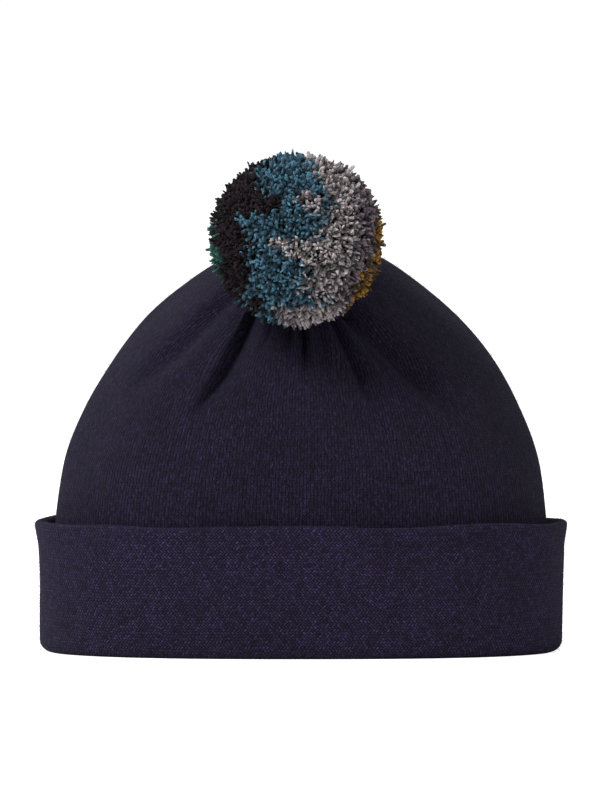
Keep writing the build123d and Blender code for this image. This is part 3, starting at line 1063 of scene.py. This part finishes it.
class BEANIE_OT_seam(bpy.types.Operator):
    """Lays the oversewn seam up the inside of the centre back"""

    bl_idname = "beanie.seam"
    bl_label = "Seam"

    def execute(self, context):
        inside = folded_crown(np.linspace(0.2, 11.0, 260), even_angles(COLUMNS), BODY_WALL)
        path = inside[:, 0] - grid_normals(inside)[:, 0] * 0.45
        low, high = (np.array(corner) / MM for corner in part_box("back_seam"))
        path = path[(path[:, 2] > low[2] + 1) & (path[:, 1] > low[1] + 1)]
        length = np.linalg.norm(np.diff(path, axis=0), axis=1).sum()
        cord_piece("oversewn_seam", path, 1.5, round(length / 4.5), "hat", "back_seam")
        return {"FINISHED"}


class BEANIE_OT_fuzz(bpy.types.Operator):
    """Stands loose fibres on the knit's outside"""

    bl_idname = "beanie.fuzz"
    bl_label = "Fuzz"

    def execute(self, context):
        rng = np.random.default_rng(77)
        count = context.scene.beanie_knit.fuzz
        self.cover("crown_knit", "crown_fuzz", "body_knit", int(count * 0.6), CUFF_HEIGHT - 6, rng)
        self.cover("cuff_knit", "cuff_fuzz", "cuff_knit", int(count * 0.4), 0.6, rng)
        return {"FINISHED"}

    def cover(self, source, name, slot, count, floor, rng):
        mesh = bpy.data.objects[source].data
        centres, normals = np.empty(len(mesh.polygons) * 3), np.empty(len(mesh.polygons) * 3)
        mesh.polygons.foreach_get("center", centres)
        mesh.polygons.foreach_get("normal", normals)
        centres, normals = centres.reshape(-1, 3) / MM, normals.reshape(-1, 3)
        radial = centres / (HALF_WIDTH, HALF_DEPTH, 1e9)
        out = ((normals[:, :2] * radial[:, :2]).sum(1) > 0.05) | (normals[:, 2] > 0.4)
        outside = np.flatnonzero(out & (centres[:, 2] > floor))
        chosen = rng.choice(outside, count)
        lean = normals[chosen] * 0.45 + rng.normal(scale=0.45, size=(count, 3))
        lean += normals[chosen] * np.maximum(0, 0.15 - (lean * normals[chosen]).sum(1, keepdims=True))
        lean /= np.linalg.norm(lean, axis=1, keepdims=True)
        roots = centres[chosen] + rng.normal(scale=0.4, size=(count, 3)) - normals[chosen] * 0.3
        points, faces = fibre_blades(roots, lean, rng.uniform(0.7, 2.3, count), 0.075, rng)
        fibres = bpy.data.meshes.new(name)
        fibres.from_pydata(points * MM, [], faces.tolist())
        new_piece(name, fibres, "hat", (), [cord_finish()])


class BEANIE_OT_stage(bpy.types.Operator):
    """Sets the pale floor, the soft lights and the camera"""

    bl_idname = "beanie.stage"
    bl_label = "Stage"

    def execute(self, context):
        scene = context.scene
        stage = scene.beanie_stage
        self.floor()
        self.world(scene)
        self.softbox("key_light", (-1.25, -1.15, 1.6), 0.8, 34.0)
        self.softbox("fill_light", (1.5, -1.6, 0.9), 1.6, 7.0)
        self.softbox("back_light", (-0.7, 1.7, 1.5), 1.4, 9.0)
        camera = bpy.data.objects.new("camera", bpy.data.cameras.new("camera"))
        scene.collection.objects.link(camera)
        scene.camera = camera
        aim = Vector((-0.0004, 0.0, stage.aim))
        back = Vector((0.0, -math.cos(stage.elevation), math.sin(stage.elevation)))
        camera.location = aim + back * stage.distance
        camera.rotation_euler = (-back).to_track_quat("-Z", "Y").to_euler()
        camera.data.sensor_width = 36.0
        camera.data.lens = 36.0 * stage.distance / stage.field
        camera.data.clip_start, camera.data.clip_end = 0.05, 60.0
        scene.view_settings.view_transform = "Standard"
        return {"FINISHED"}

    def floor(self):
        bm = bmesh.new()
        bmesh.ops.create_grid(bm, x_segments=1, y_segments=1, size=14.0)
        mesh = bpy.data.meshes.new("floor")
        bm.to_mesh(mesh)
        bm.free()
        floor = bpy.data.objects.new("floor", mesh)
        bpy.context.scene.collection.objects.link(floor)
        material = bpy.data.materials.new("floor_white")
        material.use_nodes = True
        shader = material.node_tree.nodes["Principled BSDF"]
        shader.inputs["Base Color"].default_value = (0.85, 0.85, 0.85, 1.0)
        shader.inputs["Roughness"].default_value = 0.9
        shader.inputs["Specular IOR Level"].default_value = 0.0
        shader.inputs["Emission Color"].default_value = (1.0, 1.0, 1.0, 1.0)
        seen = material.node_tree.nodes.new("ShaderNodeLightPath").outputs["Is Camera Ray"]
        glow = calc(material.node_tree, "MULTIPLY", seen, 0.9)
        feed(material.node_tree, shader.inputs["Emission Strength"], glow)
        mesh.materials.append(material)

    def world(self, scene):
        world = bpy.data.worlds.new("soft_white")
        world.use_nodes = True
        scene.world = world
        background = world.node_tree.nodes["Background"]
        background.inputs["Color"].default_value = (1.0, 1.0, 1.0, 1.0)
        seen = world.node_tree.nodes.new("ShaderNodeLightPath").outputs["Is Camera Ray"]
        strength = calc(world.node_tree, "MULTIPLY_ADD", seen, 0.7, 0.34)
        feed(world.node_tree, background.inputs["Strength"], strength)

    def softbox(self, name, place, size, power):
        light = bpy.data.lights.new(name, "AREA")
        light.size = size
        light.energy = power
        lamp = bpy.data.objects.new(name, light)
        bpy.context.scene.collection.objects.link(lamp)
        lamp.location = place
        lamp.rotation_euler = (Vector((0, 0, 0.1)) - Vector(place)).to_track_quat("-Z", "Y").to_euler()


class BEANIE_PT_panel(bpy.types.Panel):
    bl_label = "Beanie"
    bl_idname = "BEANIE_PT_panel"
    bl_space_type = "VIEW_3D"
    bl_region_type = "UI"
    bl_category = "Beanie"

    def draw(self, context):
        for operator in OPERATORS:
            self.layout.operator(operator.bl_idname)
        for name in ("beanie_knit", "beanie_pom", "beanie_stage"):
            settings = getattr(context.scene, name)
            for label in settings.bl_rna.properties.keys():
                if label not in ("rna_type", "name"):
                    self.layout.prop(settings, label)


OPERATORS = (
    BEANIE_OT_crown, BEANIE_OT_cuff, BEANIE_OT_seam, BEANIE_OT_fuzz, BEANIE_OT_ties, BEANIE_OT_pom,
    BEANIE_OT_stage,
)
CLASSES = (KnitSettings, PomSettings, StageSettings, *OPERATORS, BEANIE_PT_panel)


def register():
    for cls in CLASSES:
        bpy.utils.register_class(cls)
    bpy.types.Scene.beanie_knit = PointerProperty(type=KnitSettings)
    bpy.types.Scene.beanie_pom = PointerProperty(type=PomSettings)
    bpy.types.Scene.beanie_stage = PointerProperty(type=StageSettings)


def unregister():
    del bpy.types.Scene.beanie_knit
    del bpy.types.Scene.beanie_pom
    del bpy.types.Scene.beanie_stage
    for cls in reversed(CLASSES):
        bpy.utils.unregister_class(cls)


def main():
    register()
    for operator in OPERATORS:
        group, name = operator.bl_idname.split(".")
        getattr(getattr(bpy.ops, group), name)()


if __name__ == "__main__":
    main()
